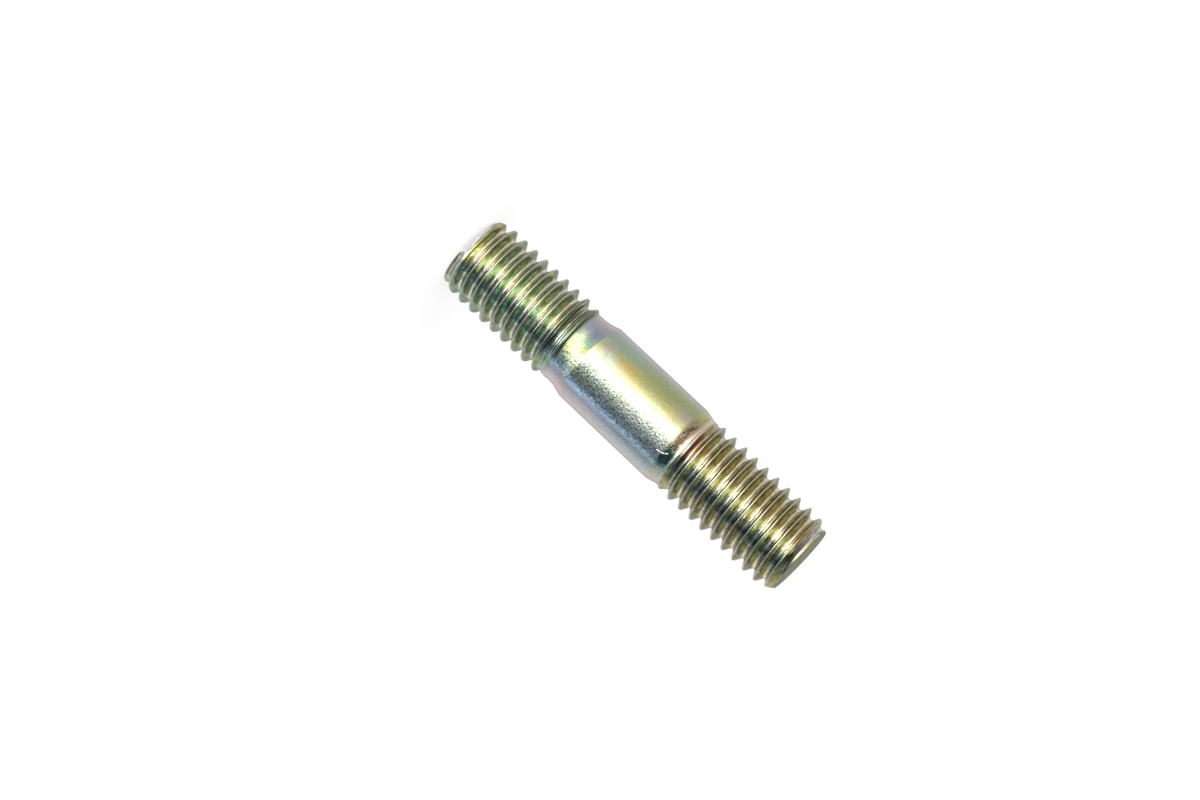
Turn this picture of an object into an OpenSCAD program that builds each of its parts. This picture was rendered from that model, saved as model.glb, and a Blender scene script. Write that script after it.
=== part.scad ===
// Double ended stud with a rolled metric thread at each end and a plain shank between them.
// One turned and rolled steel piece. It stands on its lower end, and its axis is the Z axis.
// Each thread is a ridge and groove that climb a right hand helix. The grooves start a little
// way from the necks, and the ridges taper down toward both ends of the stud.

/* [Overall] */

// Length from the lower end to the upper end
overall_length = 39;
// [37:0.5:42]

/* [Shank] */

// Diameter of the plain shank
shank_diameter = 7.74;
// [7.5:0.01:7.9]

// Height at which the shank reaches its full diameter
shank_start = 14.3;
// [14:0.1:15.5]

// Length of the shank at its full diameter
shank_length = 10.3;
// [8.8:0.1:10.6]

/* [Necks] */

// Length of the neck between the lower thread and the shank
lower_neck_length = 1.7;
// [1:0.1:2]

// Length of the neck between the shank and the upper thread
upper_neck_length = 1.25;
// [0.8:0.05:1.5]

// Diameter of the blank the lower thread is rolled on
lower_blank_diameter = 7.06;
// [6.9:0.02:7.3]

// Diameter of the blank the upper thread is rolled on
upper_blank_diameter = 7.22;
// [6.9:0.02:7.3]

/* [Threads] */

// Diameter over the crests of both threads
thread_diameter = 7.8;
// [7.7:0.02:8]

// Distance from one crest to the next
thread_pitch = 1.25;
// [1:0.25:1.5]

// Depth of the thread as a share of its pitch
thread_depth_share = 0.58;
// [0.54:0.01:0.66]

// Radius of the crests as a share of the pitch
crest_round_share = 0.07;
// [0.06:0.01:0.12]

// Length of the lower thread, from the lower end to its last groove
lower_thread_length = 11.9;
// [9:0.1:12]

// Length of the upper thread, from its first groove to the upper end
upper_thread_length = 13;
// [10:0.1:13.1]

// Distance over which a groove sinks to its full depth
groove_runout = 1;
// [0.4:0.1:1.5]

// Distance the ridges go on past the grooves, onto the necks
ridge_overrun = 0.5;
// [0.1:0.1:0.6]

// Distance over which a ridge rises to its full height
ridge_runout = 1.6;
// [1:0.1:2]

// Angle at which the crest of the lower thread crosses the base plane
lower_crest_angle = 46.4;
// [0:0.1:360]

// Angle at which the crest of the upper thread would cross the base plane
upper_crest_angle = 56.7;
// [0:0.1:360]

/* [Ends] */

// Drop of the crests at the lower end
lower_end_drop = 0.5;
// [0.2:0.05:0.75]

// Drop of the crests at the upper end
upper_end_drop = 0.7;
// [0.2:0.05:0.75]

// Distance over which the crests drop toward an end
end_taper_length = 2;
// [1:0.1:3]

// Depth of the step where the lower thread starts at the rim
start_step = 0.5;
// [0.1:0.05:0.55]

// Angle of the step where the lower thread starts
start_angle = 282;
// [200:1:340]

// Sweep over which the rim falls back toward the step
start_sweep = 78;
// [40:1:120]

/* [Colour] */

// Colour of the plated steel
steel = "#A79C68";

/* [Hidden] */

$fn = 96;

segments = 36;
rows = 6;
gap = 0.02;
half_pitch = thread_pitch / 2;
thread_radius = thread_diameter / 2;
root_radius = thread_radius - thread_depth_share * thread_pitch;
crest_round = crest_round_share * thread_pitch;
root_round = half_pitch * tan(60) - thread_depth_share * thread_pitch - crest_round;
crest_reach = crest_round * cos(30);
root_reach = root_round * cos(30);
shank_radius = shank_diameter / 2;
shank_end = shank_start + shank_length;
lower_stop = lower_thread_length;
upper_stop = overall_length - upper_thread_length;
// Sinking face depth of each thread body inside the necks
lower_root_z = lower_stop + ridge_overrun + 0.25;
upper_root_z = upper_stop - ridge_overrun - 0.25;
flat_radius = root_radius * 0.5;
neck_fillet = 0.3;

// Places of the rows across one pitch, as shares of it, from crest to crest
row_places = [
    0,
    crest_reach / thread_pitch,
    0.5 - root_reach / thread_pitch,
    0.5,
    0.5 + root_reach / thread_pitch,
    1 - crest_reach / thread_pitch
];

function clamp(v, lo, hi) = max(lo, min(hi, v));

// Radius of the thread at a distance along the axis from its crest
function profile(d) =
    d < crest_reach ? thread_radius - crest_round + sqrt(crest_round * crest_round - d * d)
    : d > half_pitch - root_reach
        ? root_radius + root_round - sqrt(root_round * root_round - pow(half_pitch - d, 2))
        : thread_radius + crest_round - d * tan(60);

// Distance along the axis from the nearest crest
function crest_distance(z, a, start) =
    let (t = z / thread_pitch - (a - start) / 360)
    let (f = t - floor(t))
    thread_pitch * min(f, 1 - f);

// Radius the crests are held to at a distance from the end of the stud
function taper(d, drop) = thread_radius - drop * pow(1 - clamp(d / end_taper_length, 0, 1), 2);

// Share of a neck's drop: a cone from the shank, flattening out on the blank over its last part
function neck_share(v) =
    let (t = clamp(v, 0, 1))
    let (rate = 1 / (1 - neck_fillet / 2))
    t < 1 - neck_fillet ? rate * t : 1 - rate * pow(1 - t, 2) / (2 * neck_fillet);

// Radius of the neck between a blank and the shank, by distance from the shank
function neck_radius(s, length, blank) = shank_radius + (blank - shank_radius) * neck_share(s / length);

// Radius of the stud before rolling, below and above the middle
function lower_blank(z) = neck_radius(shank_start - z, lower_neck_length, lower_blank_diameter / 2);
function upper_blank(z) = neck_radius(z - shank_end, upper_neck_length, upper_blank_diameter / 2);

// Rolled radius, s in from the first groove: grooves and ridges grow out of the blank
function rolled(full, blank, s) =
    let (groove = clamp(s / groove_runout, 0, 1))
    let (ridge = 1 - pow(1 - clamp((s + ridge_overrun) / ridge_runout, 0, 1), 1.7))
    blank - gap * (1 - groove) + (full > blank ? ridge : groove) * (full - blank);

function lower_radius(z, a) =
    rolled(min(profile(crest_distance(z, a, lower_crest_angle)), taper(z, lower_end_drop)),
        lower_blank(z), lower_stop - z);

function upper_radius(z, a) =
    rolled(min(profile(crest_distance(z, a, upper_crest_angle)), taper(overall_length - z, upper_end_drop)),
        upper_blank(z), z - upper_stop);

// Height of the lower rim: it falls back along the groove and steps out where the thread starts
function rim_height(a) =
    let (back = start_angle - a)
    back < 0 || back > start_sweep ? 0 : start_step * pow(1 - back / start_sweep, 0.6);

// Grid of points on one thread. Its rows follow the helix and stop at the two end heights
function thread_points(low, high, start, lower) =
    let (count = ceil((high - low) / thread_pitch) + 3)
    let (base = floor(low / thread_pitch + start / 360) - 1)
    [
        for (i = [0:segments - 1])
            for (k = [0:count * rows])
                let (a = 360 * i / segments)
                let (place = base + floor(k / rows) + row_places[k % rows])
                let (raw = thread_pitch * (place + (a - start) / 360))
                let (z = clamp(raw, lower ? rim_height(a) : low, high))
                let (r = lower ? lower_radius(z, a) : upper_radius(z, a))
                [r * cos(a), r * sin(a), z]
    ];

// Number of points in one column of the grid
function column(low, high) = (ceil((high - low) / thread_pitch) + 3) * rows + 1;

// Triangles of the grid: the seam joins each row to the one a pitch above it
function thread_faces(points, n) =
    [
        for (i = [0:segments - 1])
            for (k = [0:n - 2])
                let (last = i == segments - 1)
                let (p = i * n + k)
                let (q = i * n + k + 1)
                let (s = last ? min(k + rows, n - 1) : (i + 1) * n + k)
                let (t = last ? min(k + 1 + rows, n - 1) : (i + 1) * n + k + 1)
                each [
                    if (points[p] != points[s] && points[s] != points[t] && points[p] != points[t]) [p, t, s],
                    if (points[p] != points[q] && points[q] != points[t] && points[p] != points[t]) [p, q, t]
                ]
    ];

// One threaded end as a closed body, with a flat ring and a centre point at each end
module threaded_end(low, high, start, lower) {
    n = column(low, high);
    skin = thread_points(low, high, start, lower);
    ring = [for (i = [0:segments - 1]) let (a = 360 * i / segments) [flat_radius * cos(a), flat_radius * sin(a), low]];
    at = len(skin);
    bottom = at + segments;
    top = bottom + 1;
    caps = [
        for (i = [0:segments - 1])
            let (j = (i + 1) % segments)
            each [
                [i * n, j * n, at + j],
                [i * n, at + j, at + i],
                [at + i, at + j, bottom],
                [i * n + n - 1, top, j * n + n - 1]
            ]
    ];
    polyhedron(
        points = concat(skin, ring, [[0, 0, low], [0, 0, high]]),
        faces = concat(thread_faces(skin, n), caps),
        convexity = 12
    );
}

// Plain middle: shank and both necks, as far as the first grooves
module middle() {
    steps = 5;
    lower_end = [for (k = [0:steps]) lower_stop + (shank_start - lower_stop) * k / steps];
    upper_end = [for (k = [0:steps]) shank_end + (upper_stop - shank_end) * k / steps];
    rotate_extrude()
        polygon(concat(
            [[0, lower_stop]],
            [for (z = lower_end) [lower_blank(z), z]],
            [for (z = upper_end) [upper_blank(z), z]],
            [[0, upper_stop]]
        ));
}

// The whole stud
module stud() {
    color(steel)
        union() {
            middle();
            threaded_end(0, lower_root_z, lower_crest_angle, true);
            threaded_end(upper_root_z, overall_length, upper_crest_angle, false);
        }
}

stud();
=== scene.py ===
"""Double ended stud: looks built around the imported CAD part."""

import math

import bmesh
import bpy
from mathutils import Matrix, Vector, noise


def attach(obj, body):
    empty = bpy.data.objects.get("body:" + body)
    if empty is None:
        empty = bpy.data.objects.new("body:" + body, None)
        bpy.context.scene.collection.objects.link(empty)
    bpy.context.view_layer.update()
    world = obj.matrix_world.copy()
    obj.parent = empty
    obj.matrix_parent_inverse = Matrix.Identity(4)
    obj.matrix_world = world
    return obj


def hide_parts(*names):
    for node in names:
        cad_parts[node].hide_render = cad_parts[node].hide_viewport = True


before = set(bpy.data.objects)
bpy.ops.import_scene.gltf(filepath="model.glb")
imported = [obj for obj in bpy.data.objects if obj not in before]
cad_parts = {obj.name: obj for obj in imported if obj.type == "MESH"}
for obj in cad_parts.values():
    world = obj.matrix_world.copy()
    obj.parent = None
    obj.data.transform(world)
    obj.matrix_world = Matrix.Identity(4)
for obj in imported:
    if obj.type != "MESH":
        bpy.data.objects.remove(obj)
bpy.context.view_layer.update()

# --- the stud's sizes in millimetres and degrees, the same as in the CAD source ---
MM = 0.001
LENGTH = 39.0
SHANK_RADIUS = 3.87
SHANK_START = 14.3
SHANK_END = 24.6
LOWER_NECK = 1.7
UPPER_NECK = 1.25
LOWER_BLANK = 3.53
UPPER_BLANK = 3.61
UPPER_FILLET = 0.3
CREST = 3.9
PITCH = 1.25
DEPTH = 0.725
ROUND = 0.0875
LOWER_STOP = 11.9
UPPER_STOP = 26.0
GROOVE_RUNOUT = 1.0
RIDGE_OVERRUN = 0.5
RIDGE_RUNOUT = 1.6
RIDGE_POWER = 1.7
LOWER_ANGLE = 46.4
UPPER_ANGLE = 56.7
LOWER_DROP = 0.5
UPPER_DROP = 0.7
TAPER = 2.0
STEP = 0.5
STEP_ANGLE = 282.0
STEP_SWEEP = 78.0
STEP_POWER = 0.6

HALF = PITCH / 2
SLOPE = math.tan(math.radians(60))
ROOT = CREST - DEPTH
ROOT_ROUND = HALF * SLOPE - DEPTH - ROUND
REACH = ROUND * math.cos(math.radians(30))
ROOT_REACH = ROOT_ROUND * math.cos(math.radians(30))

# --- softer than in the CAD source: the lower neck's foot, the start of the crests' taper, the rims ---
LOWER_FILLET = 0.7
TAPER_SOFTNESS = 0.05
RIM = 0.06
# Rings of an end's face: share of the root radius, and share of the rim's fall that they follow
FACE_RINGS = ((0.85, 0.85), (0.55, 0.4), (0.25, 0.0))
# How uneven the rolled crests are, and the radii over which that fades in
WOBBLE = 0.012
WOBBLE_SCALE = 1.7
WOBBLE_START = 3.6
WOBBLE_RISE = 0.2

# --- mesh density, and the heights where the threads' meshes meet the middle's ---
SEGMENTS = 120
CREST_ROWS = 6
FLANK_ROWS = 4
ROOT_ROWS = 8
RIM_STEPS = 4
LOWER_NECK_ROWS = 10
SHANK_ROWS = 40
UPPER_NECK_ROWS = 6
LOWER_SEAM = 13.2
UPPER_SEAM = 25.2
SHARP_ANGLE = 75


def clamp(v, lo=0.0, hi=1.0):
    return max(lo, min(hi, v))


def neck_share(v, fillet):
    """Share of a neck's drop: a cone from the shank, flattening out on the blank over its last part."""
    v = clamp(v)
    rate = 1 / (1 - fillet / 2)
    return rate * v if v < 1 - fillet else 1 - rate * (1 - v) ** 2 / (2 * fillet)


def profile(d):
    """Radius of the thread at a distance along the axis from its crest."""
    if d < REACH:
        return CREST - ROUND + math.sqrt(ROUND * ROUND - d * d)
    if d > HALF - ROOT_REACH:
        return ROOT + ROOT_ROUND - math.sqrt(ROOT_ROUND ** 2 - (HALF - d) ** 2)
    return CREST + ROUND - d * SLOPE


def crest_distance(z, a, start):
    """Distance along the axis from the nearest crest."""
    t = z / PITCH - (a - start) / 360
    f = t - math.floor(t)
    return PITCH * min(f, 1 - f)


def taper(d, drop):
    """Radius the crests are held to at a distance from the end of the stud."""
    return CREST - drop * (1 - clamp(d / TAPER)) ** 2


def lower_blank(z):
    """Radius of the stud before rolling, below the middle."""
    drop = neck_share((SHANK_START - z) / LOWER_NECK, LOWER_FILLET)
    return SHANK_RADIUS + (LOWER_BLANK - SHANK_RADIUS) * drop


def upper_blank(z):
    """Radius of the stud before rolling, above the middle."""
    drop = neck_share((z - SHANK_END) / UPPER_NECK, UPPER_FILLET)
    return SHANK_RADIUS + (UPPER_BLANK - SHANK_RADIUS) * drop


def rolled(full, blank, s):
    """Grooves and ridges grow out of the blank, s in from the first groove."""
    groove = clamp(s / GROOVE_RUNOUT)
    ridge = 1 - (1 - clamp((s + RIDGE_OVERRUN) / RIDGE_RUNOUT)) ** RIDGE_POWER
    return blank + (ridge if full > blank else groove) * (full - blank)


def soft_min(a, b, k):
    """The smaller of two values, rounded off where they are within k of each other."""
    h = clamp(0.5 + 0.5 * (b - a) / k)
    return b + (a - b) * h - k * h * (1 - h)


def radius(z, a):
    """Radius of the stud at a height and an angle."""
    if z < (SHANK_START + SHANK_END) / 2:
        crests = profile(crest_distance(z, a, LOWER_ANGLE))
        full = soft_min(crests, taper(z, LOWER_DROP), TAPER_SOFTNESS)
        return rolled(full, lower_blank(z), LOWER_STOP - z)
    crests = profile(crest_distance(z, a, UPPER_ANGLE))
    full = soft_min(crests, taper(LENGTH - z, UPPER_DROP), TAPER_SOFTNESS)
    return rolled(full, upper_blank(z), z - UPPER_STOP)


def rim_height(a):
    """The lower rim falls back along the groove and steps out where the thread starts."""
    back = STEP_ANGLE - a
    if back < 0 or back > STEP_SWEEP:
        return 0.0
    return STEP * (1 - back / STEP_SWEEP) ** STEP_POWER


def row_places():
    """Places of the mesh rows across one pitch, as shares of it, from crest to crest."""
    spans = (
        (0.0, REACH, CREST_ROWS // 2),
        (REACH, HALF - ROOT_REACH, FLANK_ROWS),
        (HALF - ROOT_REACH, HALF + ROOT_REACH, ROOT_ROWS),
        (HALF + ROOT_REACH, PITCH - REACH, FLANK_ROWS),
        (PITCH - REACH, PITCH, CREST_ROWS // 2))
    return [(lo + (hi - lo) * k / count) / PITCH for lo, hi, count in spans for k in range(count)]


class Skin:
    """Points shared by height in each column, and the faces between the columns."""

    def __init__(self):
        self.points = []
        self.faces = []
        self.known = {}

    def at(self, column, z, r=None):
        """Number of the point at a height in a column, on the stud's surface or at radius r."""
        key = (column, round(z, 6), None if r is None else round(r, 6))
        if key not in self.known:
            turn = 2 * math.pi * column / SEGMENTS
            size = radius(z, math.degrees(turn)) if r is None else r
            place = Vector((size * math.cos(turn), size * math.sin(turn), z))
            if r is None and (z < LOWER_STOP or z > UPPER_STOP):
                place = uneven(place, size)
            self.known[key] = len(self.points)
            self.points.append(place * MM)
        return self.known[key]

    def face(self, *corners):
        """A face on these corners, with the doubled ones left out."""
        ring = [c for k, c in enumerate(corners) if c != corners[k - 1]]
        if len(set(ring)) >= 3:
            self.faces.append(ring)


def uneven(place, size):
    """The place moved a little in or out, if it is high enough on a ridge."""
    share = WOBBLE / CREST * clamp((size - WOBBLE_START) / WOBBLE_RISE)
    moved = place * (1 + share * (noise.noise(place * WOBBLE_SCALE) - 0.5))
    moved.z = place.z
    return moved


def add_thread(skin, low, high, start):
    """Rows that follow the helix, held between the two end heights of each column."""
    places = row_places()
    base = math.floor(min(low) / PITCH + start / 360) - 1
    count = math.ceil((high - min(low)) / PITCH) + 3
    columns = []
    for i in range(SEGMENTS):
        first = base + i / SEGMENTS - start / 360
        columns.append([clamp(PITCH * (first + k + p), low[i], high) for k in range(count) for p in places])
    for i, column in enumerate(columns):
        j = (i + 1) % SEGMENTS
        shift = 0 if j else len(places)
        other = [columns[j][min(k + shift, len(column) - 1)] for k in range(len(column))]
        for k in range(len(column) - 1):
            skin.face(skin.at(i, column[k]), skin.at(j, other[k]),
                      skin.at(j, other[k + 1]), skin.at(i, column[k + 1]))


def middle_heights():
    """Heights of the rings between the threads, closest at the necks."""
    spans = (
        (LOWER_SEAM, SHANK_START, LOWER_NECK_ROWS),
        (SHANK_START, SHANK_END, SHANK_ROWS),
        (SHANK_END, UPPER_SEAM, UPPER_NECK_ROWS))
    heights = [lo + (hi - lo) * k / count for lo, hi, count in spans for k in range(count)]
    return heights + [UPPER_SEAM]


def add_middle(skin):
    """The plain shank and the necks beside it."""
    heights = middle_heights()
    for i in range(SEGMENTS):
        j = (i + 1) % SEGMENTS
        for lo, hi in zip(heights, heights[1:]):
            skin.face(skin.at(i, lo), skin.at(j, lo), skin.at(j, hi), skin.at(i, hi))


def end_spoke(skin, i, edge, out):
    """Points from the thread at height edge, round the rim and in across the face."""
    angle = 360 * i / SEGMENTS
    size = radius(edge, angle)
    spoke = [skin.at(i, edge)]
    for q in range(1, RIM_STEPS + 1):
        turn = math.pi / 2 * q / RIM_STEPS
        spoke.append(skin.at(i, edge + out * RIM * math.sin(turn), size - RIM * (1 - math.cos(turn))))
    face_z = 0.0 if out < 0 else LENGTH
    sunk = rim_height(angle) if out < 0 else 0.0
    for share, part in FACE_RINGS:
        spoke.append(skin.at(i, face_z + sunk * part, ROOT * share))
    return spoke


def add_end(skin, edges, out):
    """A rounded rim from the thread over to a flat face. out is -1 below and 1 above."""
    spokes = [end_spoke(skin, i, edges[i], out) for i in range(SEGMENTS)]
    centre = skin.at(0, 0.0 if out < 0 else LENGTH, 0.0)
    for i in range(SEGMENTS):
        a, b = spokes[i], spokes[(i + 1) % SEGMENTS]
        for k in range(len(a) - 1):
            skin.face(*(a[k], b[k], b[k + 1], a[k + 1])[::out])
        skin.face(*(a[-1], b[-1], centre)[::out])


def stud_mesh():
    """One closed skin: two threads, the plain middle and the two ends."""
    skin = Skin()
    low = [rim_height(360 * i / SEGMENTS) + RIM for i in range(SEGMENTS)]
    add_thread(skin, low, LOWER_SEAM, LOWER_ANGLE)
    add_middle(skin)
    add_thread(skin, [UPPER_SEAM] * SEGMENTS, LENGTH - RIM, UPPER_ANGLE)
    add_end(skin, low, -1)
    add_end(skin, [LENGTH - RIM] * SEGMENTS, 1)
    mesh = bpy.data.meshes.new("stud_skin")
    mesh.from_pydata(skin.points, [], skin.faces)
    mesh.validate()
    mesh.polygons.foreach_set("use_smooth", [True] * len(mesh.polygons))
    mesh.set_sharp_from_angle(angle=math.radians(SHARP_ANGLE))
    return mesh


# --- node helpers ---
class Nodes:
    """Short names for the nodes that the materials use."""

    def __init__(self, tree):
        self.tree = tree
        tree.nodes.clear()

    def add(self, kind, **settings):
        """A new node with these settings."""
        node = self.tree.nodes.new(kind)
        for name, value in settings.items():
            setattr(node, name, value)
        return node

    def put(self, socket, value):
        """Links another node's output to the socket, or sets a constant on it."""
        if isinstance(value, bpy.types.NodeSocket):
            self.tree.links.new(value, socket)
        elif hasattr(value, "__len__") and len(value) == 3 and len(socket.default_value) == 4:
            socket.default_value = (*value, 1.0)
        else:
            socket.default_value = value

    def math(self, operation, a, b=0.0, c=0.0):
        node = self.add("ShaderNodeMath", operation=operation)
        for socket, value in zip(node.inputs, (a, b, c)):
            self.put(socket, value)
        return node.outputs[0]

    def sum(self, *values):
        total = values[0]
        for value in values[1:]:
            total = self.math("ADD", total, value)
        return total

    def times(self, *values):
        total = values[0]
        for value in values[1:]:
            total = self.math("MULTIPLY", total, value)
        return total

    def rest(self, share):
        """What a share leaves of 1."""
        return self.math("SUBTRACT", 1.0, share)

    def sway(self, noise_value, size):
        """A noise around 0 instead of around a half, times a size."""
        return self.times(self.sum(noise_value, -0.5), size)

    def span(self, value, lo, hi, out_lo=0.0, out_hi=1.0):
        """A smooth step of value from lo to hi; lo may be above hi."""
        if lo > hi:
            lo, hi, out_lo, out_hi = hi, lo, out_hi, out_lo
        node = self.add("ShaderNodeMapRange", interpolation_type="SMOOTHSTEP")
        for socket, v in zip(node.inputs, (value, lo, hi, out_lo, out_hi)):
            self.put(socket, v)
        return node.outputs[0]

    def between(self, value, start, full, fade, end):
        """1 from full to fade, falling smoothly to 0 at start and at end."""
        return self.times(self.span(value, start, full), self.span(value, end, fade))

    def mix(self, share, a, b, blend="MIX"):
        node = self.add("ShaderNodeMix", data_type="RGBA", blend_type=blend)
        self.put(node.inputs["Factor"], share)
        self.put(node.inputs[6], a)
        self.put(node.inputs[7], b)
        return node.outputs[2]

    def paint(self, film, colour, mask, strength):
        """A colour laid over the film where the mask is, as strongly as strength says."""
        return self.mix(self.times(mask, strength), film, colour)

    def tint(self, film, colour, share=1.0):
        """The film multiplied with a colour."""
        return self.mix(share, film, colour, "MULTIPLY")

    def scale(self, vector, factor):
        node = self.add("ShaderNodeVectorMath", operation="SCALE")
        self.put(node.inputs[0], vector)
        self.put(node.inputs["Scale"], factor)
        return node.outputs[0]

    def split(self, vector):
        """The x, y and z of a vector."""
        node = self.add("ShaderNodeSeparateXYZ")
        self.put(node.inputs[0], vector)
        return tuple(node.outputs)

    def turn(self, x, y):
        """Degrees round the stud from the front; minus is toward -X."""
        return self.math("DEGREES", self.math("ARCTAN2", x, self.times(y, -1.0)))

    def around(self, angle):
        """The share of a full turn, from the back round to the back, that a turn ramp reads."""
        return self.math("WRAP", self.sum(self.math("DIVIDE", angle, 360.0), 0.5), 1.0, 0.0)

    def shade(self, value):
        """A grey of this value, for multiplying a colour."""
        node = self.add("ShaderNodeCombineColor")
        for socket in node.inputs[:3]:
            self.put(socket, value)
        return node.outputs[0]

    def noise(self, vector, scale, detail=2.0, rough=0.5, distortion=0.0):
        node = self.add("ShaderNodeTexNoise")
        self.put(node.inputs["Vector"], vector)
        self.put(node.inputs["Scale"], scale)
        self.put(node.inputs["Detail"], detail)
        self.put(node.inputs["Roughness"], rough)
        self.put(node.inputs["Distortion"], distortion)
        return node.outputs["Fac"]

    def ramp(self, value, stops):
        node = self.add("ShaderNodeValToRGB")
        elements = node.color_ramp.elements
        for k, (place, colour) in enumerate(stops):
            element = elements[k] if k < 2 else elements.new(place)
            element.position = place
            element.color = (*colour, 1.0)
        self.put(node.inputs[0], value)
        return node.outputs[0]

    def turn_ramp(self, share, stops):
        """A ramp round the stud from stops in degrees from the front, closed at the back."""
        back = tuple((p + q) / 2 for p, q in zip(stops[0][1], stops[-1][1]))
        placed = [(0.5 + angle / 360, colour) for angle, colour in stops]
        return self.ramp(share, [(0.0, back)] + placed + [(1.0, back)])

    def finish(self, kind, socket):
        """Ends the tree in its output node."""
        node = self.add(kind)
        self.put(node.inputs[0], socket)


# --- the plating's film colours round the stud, by degrees from the front (minus is toward -X) ---
LOWER_THREAD_FILM = [
    (-150, (0.60, 0.56, 0.44)), (-80, (0.60, 0.55, 0.52)), (-60, (0.60, 0.60, 0.46)),
    (-42, (0.56, 0.62, 0.43)), (-25, (0.49, 0.61, 0.37)), (-13, (0.52, 0.66, 0.33)),
    (-6, (0.58, 0.76, 0.46)), (6, (0.46, 0.66, 0.46)), (16, (0.40, 0.60, 0.50)), (26, (0.44, 0.64, 0.62)),
    (39, (0.46, 0.64, 0.46)), (52, (0.58, 0.66, 0.52)), (80, (0.54, 0.54, 0.50)), (140, (0.56, 0.60, 0.40))]
LOWER_NECK_FILM = [
    (-150, (0.60, 0.66, 0.50)), (-75, (0.74, 0.62, 0.64)), (-56, (0.69, 0.63, 0.71)),
    (-46, (0.58, 0.60, 0.73)), (-35, (0.52, 0.58, 0.68)), (-25, (0.50, 0.60, 0.60)),
    (-14, (0.49, 0.72, 0.42)), (-5, (0.64, 0.72, 0.28)), (6, (0.78, 0.78, 0.36)), (16, (0.66, 0.78, 0.50)),
    (28, (0.62, 0.78, 0.78)), (40, (0.60, 0.68, 0.74)), (52, (0.68, 0.64, 0.70)), (75, (0.74, 0.64, 0.64)),
    (130, (0.66, 0.60, 0.40))]
SHANK_LOW_FILM = [
    (-140, (0.64, 0.60, 0.42)), (-75, (0.66, 0.62, 0.64)), (-62, (0.62, 0.68, 0.66)),
    (-50, (0.58, 0.69, 0.57)), (-42, (0.60, 0.71, 0.46)), (-35, (0.68, 0.70, 0.33)),
    (-28, (0.76, 0.64, 0.28)), (-21, (0.87, 0.75, 0.36)), (-14, (0.82, 0.82, 0.52)),
    (5, (0.72, 0.80, 0.64)), (14, (0.62, 0.71, 0.62)), (24, (0.60, 0.70, 0.68)), (37, (0.62, 0.78, 0.90)),
    (50, (0.70, 0.68, 0.72)), (75, (0.70, 0.60, 0.60)), (120, (0.58, 0.66, 0.46))]
SHANK_HIGH_FILM = [
    (-140, (0.60, 0.66, 0.52)), (-75, (0.64, 0.62, 0.60)), (-62, (0.60, 0.72, 0.50)),
    (-54, (0.60, 0.67, 0.38)), (-43, (0.62, 0.64, 0.31)), (-33, (0.64, 0.62, 0.29)),
    (-24, (0.73, 0.70, 0.32)), (-16, (0.84, 0.84, 0.52)), (-5, (0.72, 0.72, 0.62)), (6, (0.72, 0.80, 0.66)),
    (15, (0.95, 1.00, 0.86)), (22, (0.74, 0.84, 0.78)), (33, (0.58, 0.72, 0.74)), (44, (0.50, 0.60, 0.64)),
    (55, (0.62, 0.68, 0.70)), (75, (0.66, 0.62, 0.60)), (120, (0.70, 0.62, 0.38))]
UPPER_NECK_FILM = [
    (-140, (0.64, 0.56, 0.42)), (-75, (0.70, 0.70, 0.52)), (-56, (0.74, 0.76, 0.36)),
    (-46, (0.66, 0.60, 0.30)), (-33, (0.60, 0.46, 0.30)), (-20, (0.72, 0.54, 0.40)),
    (-8, (0.86, 0.74, 0.46)), (4, (0.84, 0.78, 0.48)), (13, (0.78, 0.86, 0.64)), (23, (0.46, 0.62, 0.54)),
    (35, (0.50, 0.64, 0.46)), (48, (0.66, 0.72, 0.60)), (75, (0.66, 0.58, 0.54)), (130, (0.60, 0.66, 0.50))]
UPPER_THREAD_FILM = [
    (-150, (0.58, 0.60, 0.40)), (-80, (0.60, 0.54, 0.48)), (-60, (0.63, 0.58, 0.46)),
    (-34, (0.61, 0.50, 0.24)), (-20, (0.54, 0.43, 0.19)), (-10, (0.61, 0.54, 0.24)),
    (-4, (0.68, 0.67, 0.36)), (4, (0.60, 0.62, 0.34)), (13, (0.76, 0.84, 0.60)), (24, (0.62, 0.70, 0.57)),
    (31, (0.50, 0.57, 0.43)), (40, (0.64, 0.66, 0.42)), (60, (0.56, 0.54, 0.42)), (80, (0.54, 0.50, 0.45)),
    (140, (0.62, 0.54, 0.34))]
# Films from the lower end up: the heights over which each takes over from the one before it
FILM_JOINS = (
    (11.8, 12.4, LOWER_NECK_FILM), (14.0, 14.5, SHANK_LOW_FILM), (16.5, 21.5, SHANK_HIGH_FILM),
    (24.4, 24.9, UPPER_NECK_FILM), (25.9, 26.4, UPPER_THREAD_FILM))
# Painted highlight in the bottom of the grooves: pale cream, and on the upper thread a painted dark shade
# from 17 to 38 degrees
LOWER_ROOT_PAINTED_LIGHT = [
    (-90, (0.92, 0.86, 0.74)), (-48, (1.00, 0.94, 0.74)), (-30, (0.94, 0.85, 0.66)),
    (-14, (0.98, 0.86, 0.62)), (2, (0.98, 0.90, 0.72)), (20, (0.90, 0.86, 0.76)), (50, (0.96, 0.90, 0.76)),
    (90, (0.92, 0.88, 0.74))]
UPPER_ROOT_PAINTED_LIGHT = [
    (-90, (0.92, 0.86, 0.74)), (-48, (1.00, 0.94, 0.68)), (-28, (0.86, 0.78, 0.62)),
    (-10, (0.98, 0.93, 0.74)), (6, (0.98, 0.96, 0.76)), (17, (0.60, 0.66, 0.72)), (26, (0.36, 0.40, 0.44)),
    (38, (0.36, 0.38, 0.40)), (47, (0.80, 0.76, 0.58)), (58, (0.98, 0.92, 0.64)), (90, (0.92, 0.86, 0.72))]
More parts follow.
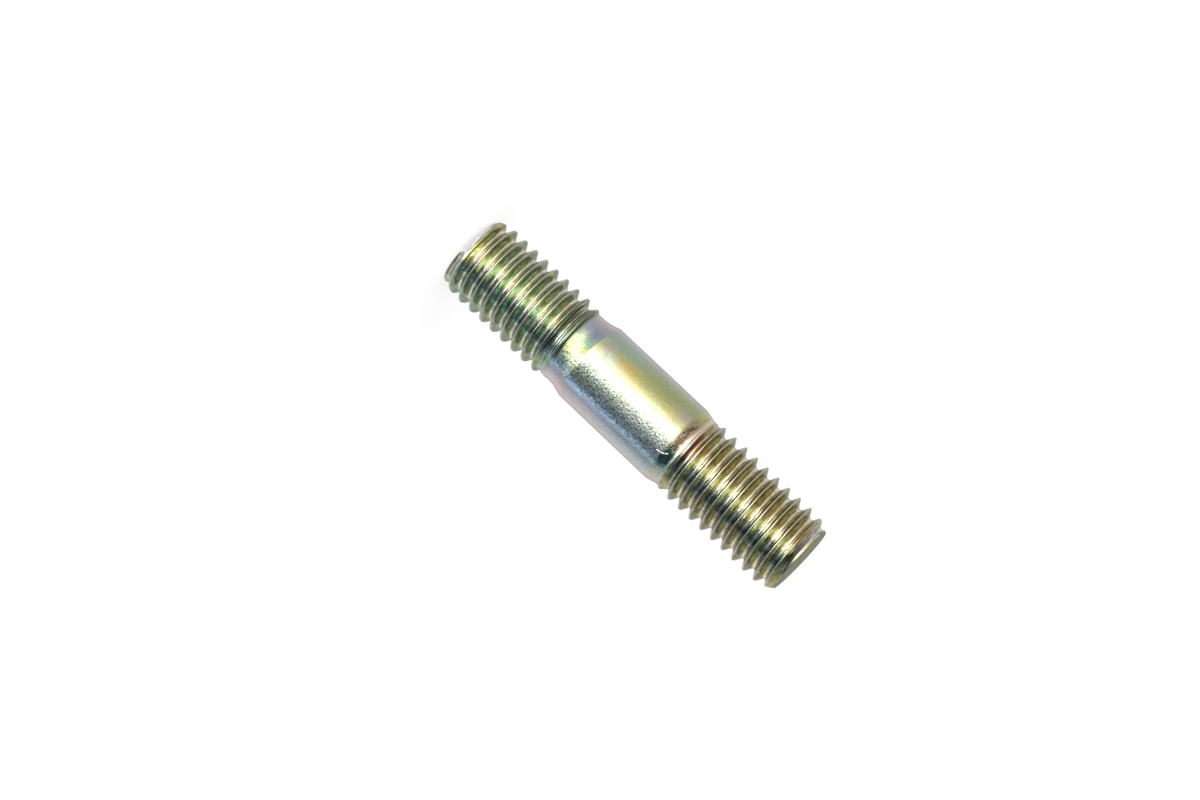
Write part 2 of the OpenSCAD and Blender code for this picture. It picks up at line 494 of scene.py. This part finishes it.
# Gold, olive and pale patches on the shank: height, turn, half height, half turn, colour, strength
SHANK_PATCHES = [
    (17.5, -28, 1.5, 6, (0.88, 0.64, 0.22), 0.85), (15.7, -22, 1.3, 9, (0.74, 0.86, 0.74), 0.8),
    (15.4, -44, 1.2, 16, (0.62, 0.64, 0.60), 0.7), (20.6, -38, 2.2, 9, (0.60, 0.66, 0.28), 0.5),
    (23.9, -34, 0.8, 13, (0.68, 0.60, 0.58), 0.7), (23.3, -25, 0.8, 6, (0.84, 0.70, 0.32), 0.7),
    (15.6, 38, 1.6, 3.5, (0.66, 0.92, 1.00), 1.0), (19.3, 37, 1.8, 4, (0.70, 0.74, 1.00), 0.8),
    (12.7, -20, 0.4, 10, (0.88, 0.94, 0.50), 0.8), (13.7, -16, 0.6, 6, (0.60, 0.86, 0.66), 0.7),
    (12.6, 33, 0.5, 8, (0.60, 0.90, 0.95), 0.6), (13.9, 58, 0.6, 10, (0.86, 0.60, 0.60), 0.7),
    (15.2, 22, 1.2, 8, (0.60, 0.60, 0.36), 0.6), (18.8, 26, 1.4, 4, (0.50, 0.60, 0.66), 0.5),
    (17.0, 146, 2.2, 14, (0.80, 0.70, 0.36), 0.6), (22.2, 124, 1.8, 12, (0.62, 0.64, 0.72), 0.6),
    (21.4, -152, 2.4, 15, (0.58, 0.72, 0.40), 0.6), (16.4, -128, 1.8, 14, (0.84, 0.72, 0.42), 0.6)]

# Slow changes of colour over the threads, to multiply the film with
CLOUDS = [
    (0.32, (1.00, 0.84, 0.62)), (0.42, (1.00, 0.94, 0.82)), (0.50, (0.96, 1.00, 0.96)),
    (0.60, (0.84, 1.00, 1.00)), (0.70, (0.84, 0.90, 1.00))]

# Small changes of colour all over the stud, to multiply the film with
MOTTLES = [(0.3, (0.84, 0.92, 0.88)), (0.5, (1.0, 1.0, 1.0)), (0.7, (1.0, 0.93, 0.84))]
# How bright the film is as a whole, and how many tool lines there are to a pitch on the last turn
FILM_LIGHTNESS = 0.85
LINES_PER_PITCH = 5.4

# Bright handling marks: height and turn at both ends, and width, in millimetres and degrees
SCRATCHES = [
    ((24.1, 22.3), (24.6, 21.5), 0.06), ((24.5, 21.8), (25.0, 19.2), 0.075),
    ((24.9, 19.9), (25.2, 15.6), 0.07), ((1.31, 35.5), (1.8, 30.3), 0.05),
    ((1.8, 30.3), (1.83, 34.0), 0.045), ((7.4, 118.0), (8.3, 131.0), 0.04),
    ((31.6, -128.0), (32.9, -121.0), 0.04), ((18.2, 164.0), (21.0, 158.0), 0.03),
    ((19.6, -150.0), (20.8, -143.0), 0.03)]


# --- what the film's features share ---
class Surface:
    """Where a point of the skin is, and the noises and masks that several features use."""

    def __init__(self, n):
        self.find_place(n)
        self.find_noises(n)
        self.find_threads(n)
        self.find_small_marks(n)
        self.find_ends(n)

    def find_place(self, n):
        """Height, turn, distance from the axis and slope, in millimetres and degrees."""
        place = n.add("ShaderNodeTexCoord")
        self.point = n.scale(place.outputs["Object"], 1 / MM)
        x, y, self.z = n.split(self.point)
        self.nz = n.split(place.outputs["Normal"])[2]
        self.reach = n.math("SQRT", n.sum(n.times(x, x), n.times(y, y)))
        self.turn = n.turn(x, y)
        self.arc = n.times(self.turn, math.radians(SHANK_RADIUS))
        self.helix = n.math("SUBTRACT", self.z, n.times(self.turn, PITCH / 360))

    def find_noises(self, n):
        """Noises from broad to fine, one combed along the threads, and the place swayed by them."""
        self.patch = n.noise(self.point, 1.1, 3.0, 0.55, 0.5)
        self.cloud = n.noise(self.point, 1.3, 2.0, 0.6, 0.4)
        self.mottle = n.noise(self.point, 2.6, 3.0, 0.6)
        self.grain = n.noise(self.point, 5.8, 2.0, 0.5)
        combed = n.add("ShaderNodeCombineXYZ")
        n.put(combed.inputs[0], n.times(self.z, 5.2))
        n.put(combed.inputs[1], n.times(self.arc, 0.9))
        self.streak = n.noise(combed.outputs[0], 1.0, 3.0, 0.65)
        self.height = n.sum(self.z, n.sway(self.patch, 0.5))
        self.loose_turn = n.sum(self.turn, n.sway(self.patch, 14.0), n.sway(self.mottle, 8.0))
        self.share = n.around(self.loose_turn)

    def find_threads(self, n):
        """Both threads, and their grooves' bottoms, flanks and crests."""
        self.threads = n.math("MAXIMUM", n.span(self.z, 12.4, 12.0), n.span(self.z, 25.6, 26.0))
        self.lower = n.span(self.z, 15.0, 14.0)
        # How far a point is turned from the middle of the view; the threads' painted highlights and shade
        # are set by it
        self.aside = n.span(n.math("ABSOLUTE", n.sum(self.turn, 1.0)), 8.0, 24.0)
        # The groove bottoms' mask is widest in the middle of the view and reaches onto the downward side,
        # so that the painted highlight there is wide
        depth = n.sum(self.reach, n.times(self.aside, 0.11), n.times(self.nz, 0.16))
        self.root = n.times(n.span(depth, 3.43, 3.30), self.threads)
        flanks = n.rest(self.root)
        self.over = n.times(n.span(self.nz, 0.3, 0.6), self.threads, flanks)
        self.under = n.times(n.span(self.nz, -0.3, -0.65), self.threads, flanks)
        ragged = n.sum(self.reach, n.sway(self.mottle, 0.2))
        self.crest = n.times(n.span(ragged, 3.80, 3.87), self.threads)
        self.golden = n.times(n.span(self.height, 3.4, 1.2), n.span(self.turn, 26.0, 10.0),
                              n.span(self.nz, -0.45, -0.25))

    def find_small_marks(self, n):
        """Tool lines on the lower thread's last turn, scratches, and the worn lobe at the lower rim."""
        wave = n.math("SINE", n.times(self.helix, 2 * math.pi * LINES_PER_PITCH / PITCH))
        self.lines = n.times(n.sum(wave, n.sum(self.streak, -0.5)),
                             n.between(self.z, 10.1, 10.7, 12.1, 12.4),
                             n.between(self.turn, -85.0, -60.0, 20.0, 34.0))
        self.marks = 0.0
        self.lean = 0.0
        for mark in SCRATCHES:
            mask, slope = scratch(n, self.z, self.arc, *mark)
            self.marks = n.math("MAXIMUM", self.marks, mask)
            self.lean = n.sum(self.lean, slope)
        self.lobe = n.times(n.span(self.z, 0.95, 0.75), n.between(self.turn, 8.0, 14.0, 85.0, 110.0))

    def find_ends(self, n):
        """The end faces, and the faint rings turned into them."""
        self.ends = n.span(n.math("ABSOLUTE", self.nz), 0.93, 0.98)
        wave = n.math("SINE", n.sum(n.times(self.reach, 26.0), n.times(self.patch, 3.0)))
        self.rings = n.times(wave, 0.05)


def oval(n, height, turn, z, a, half_z, half_a):
    """A soft oval mask on the skin, centred at height z and turn a."""
    up = n.math("DIVIDE", n.math("SUBTRACT", height, z), half_z)
    side = n.math("DIVIDE", n.math("SUBTRACT", turn, a), half_a)
    return n.span(n.math("SQRT", n.sum(n.times(up, up), n.times(side, side))), 1.5, 0.1)


def scratch(n, height, arc, start, end, width):
    """A thin straight mark between two places: its mask, and how far off its middle a point is."""
    z0, z1 = start[0], end[0]
    s0, s1 = (math.radians(p[1]) * SHANK_RADIUS for p in (start, end))
    size = math.hypot(z1 - z0, s1 - s0)
    up = (z1 - z0) / size
    side = (s1 - s0) / size
    dz = n.sum(height, -z0)
    ds = n.sum(arc, -s0)
    along = n.sum(n.times(dz, up), n.times(ds, side))
    off = n.sum(n.times(dz, -side), n.times(ds, up))
    inside = n.math("ABSOLUTE", n.sum(along, -size / 2))
    ends = n.span(inside, size / 2, size / 2 - width * 2)
    mask = n.times(n.span(n.math("ABSOLUTE", off), width, width * 0.5), ends)
    return mask, n.times(mask, off)


# --- the film's features, each laid over what comes before it ---
def film_blend(n, s):
    """The film colours blended up the stud."""
    film = n.turn_ramp(s.share, LOWER_THREAD_FILM)
    for start, full, stops in FILM_JOINS:
        film = n.mix(n.span(s.height, start, full), film, n.turn_ramp(s.share, stops))
    return film


def shank_patches(n, s, film):
    """Gold, olive and pale patches on the shank and the necks."""
    height = n.sum(s.z, n.sway(s.mottle, 1.6))
    for z, turn, half_height, half_turn, colour, strength in SHANK_PATCHES:
        mask = oval(n, height, s.loose_turn, z, turn, half_height, half_turn)
        film = n.paint(film, colour, mask, strength)
    return film


def thread_colours(n, s, film):
    """Gold where the lower thread starts, then broad brown stretches and slow clouds of colour."""
    gold = (0.70, 0.54, 0.24)
    upper_brown = (0.60, 0.47, 0.28)
    lower_olive = (0.44, 0.50, 0.30)
    film = n.paint(film, gold, s.golden, 0.8)
    stretches = n.times(n.span(n.noise(s.point, 0.9, 3.0, 0.6, 0.6), 0.50, 0.62), s.threads)
    film = n.paint(film, n.mix(s.lower, upper_brown, lower_olive), stretches, 0.45)
    warmer_up = n.times(n.sum(s.z, -20.0), -0.004)
    return n.tint(film, n.ramp(n.sum(s.cloud, warmer_up), CLOUDS), s.threads)


def upward_flanks(n, s, film):
    """Flanks that face up the stud: greener, with painted shade near the groove bottoms in the middle of
    the view.
    """
    upper_green = (0.86, 0.88, 0.70)
    lower_green = (0.82, 0.89, 0.74)
    dark = (0.40, 0.42, 0.42)
    film = n.tint(film, n.mix(s.lower, upper_green, lower_green), s.over)
    # Painted shade: the dark colour laid over the upward flanks below the crests, only in the middle of the
    # view
    middle = n.span(n.math("ABSOLUTE", n.sum(s.turn, 2.0)), 22.0, 13.0)
    below_crest = n.span(n.sum(s.reach, n.times(s.lower, 0.08)), 3.82, 3.66)
    painted_shade = n.times(s.over, middle, n.rest(n.times(s.golden, 0.9)), below_crest)
    return n.tint(film, dark, n.times(painted_shade, 0.8))


def groove_bottoms(n, s, film):
    """Painted highlight in the bottoms of the grooves, pale cream, with painted shade in the upper thread's
    groove bottoms to the right of the middle.
    """
    upper = n.turn_ramp(s.share, UPPER_ROOT_PAINTED_LIGHT)
    lower = n.turn_ramp(s.share, LOWER_ROOT_PAINTED_LIGHT)
    return n.paint(film, n.mix(s.lower, upper, lower), s.root, 0.9)


def downward_flanks(n, s, film):
    """Flanks that face down the stud: painted shade, with a painted highlight in the middle of the view and
    at the lower end.
    """
    olive = (0.38, 0.37, 0.26)
    slate = (0.32, 0.36, 0.38)
    lower_brown = (0.44, 0.38, 0.31)
    painted_highlight_colour = (0.92, 0.93, 0.80)
    pale = (0.92, 0.82, 0.80)
    # Painted shade on the downward flanks: brown on the lower thread, olive or slate on the upper, stronger
    # away from the middle of the view
    colour = n.mix(s.lower, n.mix(n.span(s.turn, 0.0, 12.0), olive, slate), lower_brown)
    film = n.paint(film, colour, s.under, n.sum(0.7, n.times(s.aside, 0.2)))
    # Painted highlight on the downward flanks in the middle of the view
    painted_flank_highlight = n.times(s.under, n.between(s.turn, -14.0, -6.0, 4.0, 12.0), n.span(s.reach, 3.68, 3.54),
                  n.span(s.z, 15.0, 20.0, 0.5, 1.0))
    film = n.paint(film, painted_highlight_colour, painted_flank_highlight, 0.85)
    # Painted highlight on the downward flanks at the lower end, where the chamfer catches the lamp
    painted_end_highlight = n.times(n.span(s.nz, -0.3, -0.6), n.span(s.z, 1.3, 0.9))
    return n.paint(film, pale, painted_end_highlight, 0.85)


def worn_and_highlit_crests(n, s, film):
    """Crests rubbed to bright metal, and with a painted highlight that is strongest in the middle of the
    view.
    """
    bare_and_highlit = (0.83, 0.77, 0.70)
    return n.paint(film, bare_and_highlit, s.crest, n.span(s.aside, 0.0, 1.0, 0.95, 0.5))


def fine_marks(n, s, film):
    """Mottling all over; along the threads and on the plain middle, fine painted light and shade in strips
    and spots where the lamp's edge falls.
    """
    film = n.tint(film, n.ramp(s.mottle, MOTTLES))
    # Painted light and shade in strips along the threads, at the lamp's edge
    streaked = n.times(n.span(s.turn, 2.0, 9.0, 2.0, 4.0), n.span(s.turn, 32.0, 22.0, 0.5, 1.0))
    painted_streak_light = n.times(n.sum(s.streak, -0.5), s.threads, n.rest(n.times(s.crest, 0.7)), streaked)
    film = n.tint(film, n.shade(n.sum(1.0, painted_streak_light)))
    # Painted glints and shade in small spots on the plain middle, at the lamp's edge
    specked = n.times(n.span(s.turn, -8.0, 12.0, 0.12, 1.0), n.span(s.turn, 46.0, 28.0, 0.25, 1.0))
    painted_speck_light = n.times(n.sway(n.noise(s.point, 6.6, 1.0, 0.5), 3.4), n.rest(s.threads), specked)
    return n.tint(film, n.shade(n.sum(1.0, painted_speck_light)))


def last_turn(n, s, film):
    """The lower thread's last turn: dull, with tool lines, and painted shade on the wall where the groove
    stops.
    """
    olive = (0.40, 0.40, 0.30)
    slate = (0.34, 0.40, 0.42)
    dark_green = (0.16, 0.20, 0.12)
    dull = n.times(n.between(s.z, 10.2, 10.7, 12.0, 12.2), n.span(s.turn, 48.0, 30.0))
    film = n.paint(film, n.mix(n.span(s.turn, -12.0, 6.0), olive, slate), dull, 0.6)
    film = n.tint(film, n.shade(n.sum(n.times(s.lines, 0.5), FILM_LIGHTNESS)))
    # Painted shade: dark green on the wall where the groove stops
    wall = n.times(n.between(s.helix, 12.0, 12.1, 12.3, 12.42),
                   n.between(s.turn, -85.0, -60.0, 20.0, 40.0))
    return n.paint(film, dark_green, wall, 0.85)


def first_groove(n, s, film):
    """The upper thread's first groove, painted dark as shade, with a painted highlight in cream on the
    ledge below it.
    """
    olive = (0.42, 0.34, 0.18)
    red_brown = (0.26, 0.10, 0.08)
    dark_green = (0.12, 0.17, 0.11)
    rose_cream = (0.90, 0.72, 0.58)
    yellow_cream = (0.98, 0.90, 0.72)
    # Painted shade in the first groove: olive, red-brown, then dark green round to the right
    groove = n.times(n.between(s.helix, 26.0, 26.12, 26.38, 26.52),
                     n.between(s.turn, -95.0, -75.0, 40.0, 60.0))
    left = n.mix(n.span(s.turn, -46.0, -32.0), olive, red_brown)
    colour = n.mix(n.span(s.turn, 2.0, 14.0), left, dark_green)
    film = n.paint(film, colour, groove, n.span(s.turn, -44.0, -30.0, 0.55, 0.9))
    # Painted highlight on the ledge below the groove: rose to yellow cream
    ledge = n.times(n.between(s.helix, 25.62, 25.78, 26.05, 26.15),
                    n.between(s.turn, -110.0, -60.0, 12.0, 24.0))
    return n.paint(film, n.mix(n.span(s.turn, -26.0, -6.0), rose_cream, yellow_cream), ledge, 0.85)


def upper_neck(n, s, film):
    """The upper neck: brown on the left and painted shade in dark green on the right, with dark spots of
    painted shade.
    """
    brown = (0.50, 0.34, 0.26)
    green = (0.15, 0.31, 0.31)
    dark_brown = (0.10, 0.06, 0.05)
    dark_green = (0.05, 0.12, 0.11)
    ragged = n.sum(s.z, n.sway(s.mottle, 0.7))
    neck = n.times(n.span(ragged, 24.55, 24.95), n.span(s.z, 25.7, 25.45),
                   n.between(s.turn, -80.0, -50.0, 34.0, 44.0))
    # Painted shade on the right of the neck: dark green
    colour = n.mix(n.span(s.turn, 8.0, 16.0), brown, green)
    film = n.paint(film, colour, neck, n.span(s.turn, 10.0, 20.0, 0.15, 0.9))
    # Painted shade in dark spots, more of them to the right
    more_right = n.span(s.turn, -45.0, -6.0, -0.05, 0.12)
    spots = n.span(n.sum(n.noise(s.point, 3.4, 3.0, 0.7), more_right), 0.49, 0.58)
    inner = n.math("MAXIMUM", n.between(ragged, 24.7, 24.9, 25.3, 25.5), n.span(s.turn, 2.0, 12.0))
    colour = n.mix(n.span(s.turn, 4.0, 12.0), dark_brown, dark_green)
    return n.paint(film, colour, n.times(spots, neck, inner), 0.85)


def upper_end_marks(n, s, film):
    """The upper thread's last ridge, pale rose, brighter in combed patches, a gold painted highlight by the
    rim, and a dark corner by the rim.
    """
    dull_rose = (0.62, 0.54, 0.52)
    bright_rose = (0.95, 0.88, 0.90)
    gold = (0.94, 0.76, 0.36)
    dark = (0.22, 0.24, 0.21)
    ridge = n.times(n.between(s.z, 38.1, 38.25, 38.7, 38.8), n.between(s.turn, -90.0, -70.0, -6.0, 4.0))
    film = n.paint(film, n.mix(n.span(s.streak, 0.45, 0.6), dull_rose, bright_rose), ridge, 0.8)
    # Painted highlight: a gold strip by the upper rim
    painted_gold_highlight = n.times(n.between(s.z, 38.72, 38.8, 38.94, 38.98), n.between(s.turn, -40.0, -22.0, 6.0, 16.0))
    film = n.paint(film, gold, painted_gold_highlight, 0.8)
    corner = n.times(n.span(s.z, 38.55, 38.75), n.between(s.turn, -92.0, -80.0, -62.0, -52.0))
    return n.paint(film, dark, corner, 0.8)


def handling_marks(n, s, film):
    """Bright scratches, and the worn lobe at the lower rim."""
    bright = (0.95, 0.92, 0.84)
    dull_green = (0.36, 0.40, 0.32)
    pale_green = (0.66, 0.64, 0.54)
    film = n.mix(s.marks, film, bright)
    return n.paint(film, n.mix(n.span(s.mottle, 0.4, 0.6), dull_green, pale_green), s.lobe, 0.75)


def end_faces(n, s, film):
    """Dull green end faces with faint turning rings and a darker rim."""
    dark = (0.12, 0.15, 0.08)
    pale = (0.26, 0.26, 0.17)
    face = n.mix(n.span(n.noise(s.point, 3.4, 4.0, 0.7), 0.3, 0.7), dark, pale)
    rim = n.span(s.reach, 2.95, 3.18, 1.0, 0.55)
    return n.mix(s.ends, film, n.tint(face, n.shade(n.times(n.sum(1.0, s.rings), rim))))


FILM_FEATURES = (
    shank_patches, thread_colours, upward_flanks, groove_bottoms, downward_flanks, worn_and_highlit_crests, fine_marks,
    last_turn, first_groove, upper_neck, upper_end_marks, handling_marks, end_faces)


def roughness(n, s):
    """Bright metal, duller on the ends, in the scratches and on the worn lobe."""
    return n.sum(n.times(n.span(s.grain, 0.35, 0.75), 0.08), 0.06, n.times(s.ends, 0.4),
                 n.times(s.marks, 0.2), n.times(s.lobe, 0.25))


def relief(n, s):
    """Height of the fine relief in millimetres."""
    plain = n.rest(n.times(s.threads, 0.6))
    grainy = n.times(n.span(s.turn, -10.0, 8.0, 0.3, 1.0), n.span(s.turn, 44.0, 32.0, 0.4, 1.0))
    return n.sum(
        n.times(s.grain, plain, grainy, 0.036),
        n.times(n.noise(s.point, 1.6, 2.0, 0.5), 0.02),
        n.times(s.lines, 0.012),
        n.times(s.streak, s.threads, 0.02),
        n.times(s.lean, 0.35),
        n.times(s.rings, s.ends, 0.1))


def plated_steel():
    """Steel under the thin coloured film of yellow zinc plating."""
    material = bpy.data.materials.new("plated_steel")
    material.use_nodes = True
    n = Nodes(material.node_tree)
    s = Surface(n)
    film = film_blend(n, s)
    for feature in FILM_FEATURES:
        film = feature(n, s, film)
    bump = n.add("ShaderNodeBump")
    n.put(bump.inputs["Strength"], 1.0)
    n.put(bump.inputs["Distance"], MM)
    n.put(bump.inputs["Height"], relief(n, s))
    shader = n.add("ShaderNodeBsdfPrincipled")
    n.put(shader.inputs["Base Color"], film)
    n.put(shader.inputs["Metallic"], n.sum(1.0, n.times(s.ends, -0.75)))
    n.put(shader.inputs["Specular Tint"], (0.8, 0.8, 0.8, 1.0))
    n.put(shader.inputs["Roughness"], roughness(n, s))
    n.put(shader.inputs["Normal"], bump.outputs[0])
    n.finish("ShaderNodeOutputMaterial", shader.outputs[0])
    return material


# --- the piece ---
mesh = stud_mesh()
stud = bpy.data.objects.new("plated_stud", mesh)
bpy.context.scene.collection.objects.link(stud)
mesh.materials.append(plated_steel())
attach(stud, "root")
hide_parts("stud")


# --- camera: the photograph's view, leaning with the stud ---
TARGET = Vector((0, 0, 19.58 * MM))
DISTANCE = 0.25
ELEVATION = math.radians(9.32)
LEAN = math.radians(43.39)
WIDTH = 1200
FOCAL_PX = 2929.0
SENSOR = 36.0
OFF_CENTRE = (34.35, -4.3)
CLIP_START = 0.01
CLIP_END = 20.0


def add_camera():
    """A camera that looks at the target a little off its centre, turned on its side by the lean."""
    toward = Vector((0, -math.cos(ELEVATION), math.sin(ELEVATION)))
    along = Vector((0, math.sin(ELEVATION), math.cos(ELEVATION)))
    across = Vector((-1, 0, 0))
    right = math.cos(LEAN) * along + math.sin(LEAN) * across
    up = -math.sin(LEAN) * along + math.cos(LEAN) * across
    facing = Matrix((right, up, toward)).transposed()
    aim = Vector((OFF_CENTRE[0], OFF_CENTRE[1], -FOCAL_PX)).normalized()
    turn = Vector((0, 0, -1)).rotation_difference(aim).to_matrix()
    data = bpy.data.cameras.new("camera")
    data.sensor_width = SENSOR
    data.lens = SENSOR * FOCAL_PX / WIDTH
    data.clip_start = CLIP_START
    data.clip_end = CLIP_END
    camera = bpy.data.objects.new("camera", data)
    place = Matrix.Translation(TARGET + toward * DISTANCE)
    camera.matrix_world = place @ (facing @ turn.inverted()).to_4x4()
    bpy.context.scene.collection.objects.link(camera)
    bpy.context.scene.camera = camera


# --- stage: a white world, a pale floor, a lamp for the shadow and a light tent for the reflections ---
WHITE = (1.0, 1.0, 1.0)
BLACK = (0.0, 0.0, 0.0)
FLOOR_COLOUR = (0.97, 0.97, 0.97)
FLOOR_DROP = 0.01 * MM
FLOOR_NEAR = 0.10
FLOOR_FAR = 0.45
FLOOR_WHITE = 0.7
SOFTBOX_SIZE = 0.5
SOFTBOX_ENERGY = 1.5
SOFTBOX_PLACE = (-0.25, -0.45, 0.35)
TENT_RADIUS = 0.5
TENT_GLOW = 4.0
TENT_SEGMENTS = 64
TENT_RINGS = 32
# Light on the wall of the tent and from the lamp behind it, by degrees from the front (minus is toward -X)
WALL_LIGHT = [
    (-165, (0.60, 0.59, 0.58)), (-148, (0.90, 0.90, 0.90)), (-122, (0.66, 0.66, 0.66)),
    (-77, (0.58, 0.58, 0.58)), (-45, (0.48, 0.48, 0.47)), (-20, (0.30, 0.30, 0.29)),
    (0, (0.20, 0.20, 0.20)), (30, (0.20, 0.21, 0.22)), (46, (0.19, 0.21, 0.24)), (60, (0.16, 0.19, 0.23)),
    (69, (0.21, 0.25, 0.32)), (78, (0.76, 0.83, 0.96)), (88, (0.44, 0.46, 0.52)), (102, (0.64, 0.65, 0.68)),
    (116, (0.80, 0.80, 0.82)), (138, (1.00, 1.00, 1.00)), (152, (0.95, 0.95, 0.94)),
    (165, (0.60, 0.59, 0.58))]
LAMP_LIGHT = [
    (-90, (0.0, 0.0, 0.0)), (-62, (0.22, 0.22, 0.22)), (-48, (0.52, 0.52, 0.51)), (-35, (1.00, 0.99, 0.97)),
    (-22, (1.90, 1.90, 1.88)), (-2, (2.00, 2.00, 2.00)), (6, (1.35, 1.36, 1.35)), (13, (0.76, 0.77, 0.77)),
    (20, (0.44, 0.45, 0.45)), (28, (0.22, 0.23, 0.23)), (36, (0.10, 0.11, 0.11)), (46, (0.04, 0.04, 0.04)),
    (56, (0.0, 0.0, 0.0))]
# How each falls off down and up the tent, by degrees of height
WALL_HEIGHTS = [(-80, 0.7), (-20, 1.0), (15, 1.0), (40, 0.6), (60, 0.35), (80, 0.3)]
LAMP_HEIGHTS = [(-75, 0.6), (-55, 1.0), (-24, 1.0), (-13, 0.56), (4, 0.56), (12, 0.38), (22, 0.28),
                (36, 0.20), (48, 0.08), (58, 0.0)]
LAMP_BOOST = 1.8
# The lamp is round, so it narrows away from its middle height, but never to nothing
LAMP_MIDDLE = -16.0
LAMP_REACH = 62.0
LAMP_LEAST = 0.04
# The lamp's lower part leans round the stud, by this many degrees for each degree down
SLANT_START = -18.0
SLANT_RATE = 0.85
# The pale light low down
LOW_LIGHT = 0.95
LOW_START = -24.0
LOW_FULL = -50.0


def plain_plane(name, size):
    """A flat square that reaches size to each side."""
    mesh = bpy.data.meshes.new(name)
    corners = [(-size, -size, 0), (size, -size, 0), (size, size, 0), (-size, size, 0)]
    mesh.from_pydata(corners, [], [(0, 1, 2, 3)])
    plane = bpy.data.objects.new(name, mesh)
    bpy.context.scene.collection.objects.link(plane)
    return plane


def stage_material(obj):
    """A new material on a piece of the stage, and its nodes."""
    material = bpy.data.materials.new(obj.name)
    material.use_nodes = True
    obj.data.materials.append(material)
    return material, Nodes(material.node_tree)


def mixed_shader(n, share, a, b):
    """One shader fading into another."""
    node = n.add("ShaderNodeMixShader")
    n.put(node.inputs[0], share)
    n.put(node.inputs[1], a)
    n.put(node.inputs[2], b)
    return node.outputs[0]


def add_floor():
    """A pale floor that takes the stud's shadow and fades into the white world round it."""
    floor = plain_plane("floor", 2 * FLOOR_FAR)
    floor.location.z = -FLOOR_DROP
    n = stage_material(floor)[1]
    place = n.add("ShaderNodeTexCoord")
    away = n.add("ShaderNodeVectorMath", operation="LENGTH")
    n.put(away.inputs[0], place.outputs["Object"])
    matt = n.add("ShaderNodeBsdfDiffuse")
    n.put(matt.inputs["Color"], FLOOR_COLOUR)
    white = n.add("ShaderNodeEmission")
    n.put(white.inputs["Color"], WHITE)
    clear = n.add("ShaderNodeBsdfTransparent")
    seen = n.add("ShaderNodeLightPath").outputs["Is Camera Ray"]
    pale = mixed_shader(n, n.times(seen, FLOOR_WHITE), matt.outputs[0], white.outputs[0])
    fading = n.span(away.outputs["Value"], FLOOR_NEAR, FLOOR_FAR)
    n.finish("ShaderNodeOutputMaterial", mixed_shader(n, fading, pale, clear.outputs[0]))
    floor.visible_glossy = False


def add_world():
    """White all round."""
    world = bpy.data.worlds.new("world")
    bpy.context.scene.world = world
    world.use_nodes = True
    n = Nodes(world.node_tree)
    glow = n.add("ShaderNodeBackground")
    n.put(glow.inputs["Color"], WHITE)
    n.finish("ShaderNodeOutputWorld", glow.outputs[0])


def tent_part(n, turn, rise, around, heights):
    """The light of one part of the tent: a ramp round it times a ramp up it."""
    light = n.turn_ramp(n.around(turn), [(a, tuple(c / TENT_GLOW for c in shade)) for a, shade in around])
    return n.tint(light, n.ramp(rise, [(0.5 + h / 180, (v, v, v)) for h, v in heights]))


def tent_light(n):
    """Wall, lamp and low light together, as shares of the tent's full glow."""
    place = n.add("ShaderNodeTexCoord")
    unit = n.add("ShaderNodeVectorMath", operation="NORMALIZE")
    n.put(unit.inputs[0], place.outputs["Object"])
    x, y, z = n.split(unit.outputs[0])
    height = n.math("DEGREES", n.math("ARCSINE", z))
    turn = n.turn(x, y)
    rise = n.sum(n.math("DIVIDE", height, 180.0), 0.5)
    wall = tent_part(n, turn, rise, WALL_LIGHT, WALL_HEIGHTS)
    slant = n.times(n.math("MAXIMUM", n.math("SUBTRACT", SLANT_START, height), 0.0), SLANT_RATE)
    off = n.times(n.sum(height, -LAMP_MIDDLE), 1 / LAMP_REACH)
    bow = n.math("SQRT", n.math("MAXIMUM", n.rest(n.times(off, off)), LAMP_LEAST))
    lamp_turn = n.math("DIVIDE", n.math("SUBTRACT", turn, slant), bow)
    lamp = n.scale(tent_part(n, lamp_turn, rise, LAMP_LIGHT, LAMP_HEIGHTS), LAMP_BOOST)
    low = n.mix(n.span(height, LOW_START, LOW_FULL), BLACK, (LOW_LIGHT / TENT_GLOW,) * 3)
    return n.mix(1.0, n.mix(1.0, wall, lamp, "ADD"), low, "LIGHTEN")


def add_tent():
    """A light tent round the stud that only its reflections see."""
    mesh = bpy.data.meshes.new("tent")
    shell = bmesh.new()
    bmesh.ops.create_uvsphere(shell, u_segments=TENT_SEGMENTS, v_segments=TENT_RINGS, radius=TENT_RADIUS)
    shell.to_mesh(mesh)
    shell.free()
    tent = bpy.data.objects.new("tent", mesh)
    bpy.context.scene.collection.objects.link(tent)
    tent.location = TARGET
    material, n = stage_material(tent)
    material.cycles.emission_sampling = "NONE"
    glow = n.add("ShaderNodeEmission")
    n.put(glow.inputs["Color"], tent_light(n))
    n.put(glow.inputs["Strength"], TENT_GLOW)
    n.finish("ShaderNodeOutputMaterial", glow.outputs[0])
    tent.visible_camera = False
    tent.visible_diffuse = False
    tent.visible_shadow = False


def add_lamp():
    """A softbox up front to the left: it gives the floor its shadow."""
    data = bpy.data.lights.new("softbox", "AREA")
    data.size = SOFTBOX_SIZE
    data.energy = SOFTBOX_ENERGY
    lamp = bpy.data.objects.new("softbox", data)
    bpy.context.scene.collection.objects.link(lamp)
    lamp.location = SOFTBOX_PLACE
    lamp.rotation_euler = (TARGET - lamp.location).to_track_quat("-Z", "Y").to_euler()
    lamp.visible_glossy = False


add_camera()
add_floor()
add_world()
add_tent()
add_lamp()
bpy.context.scene.view_settings.view_transform = "Standard"
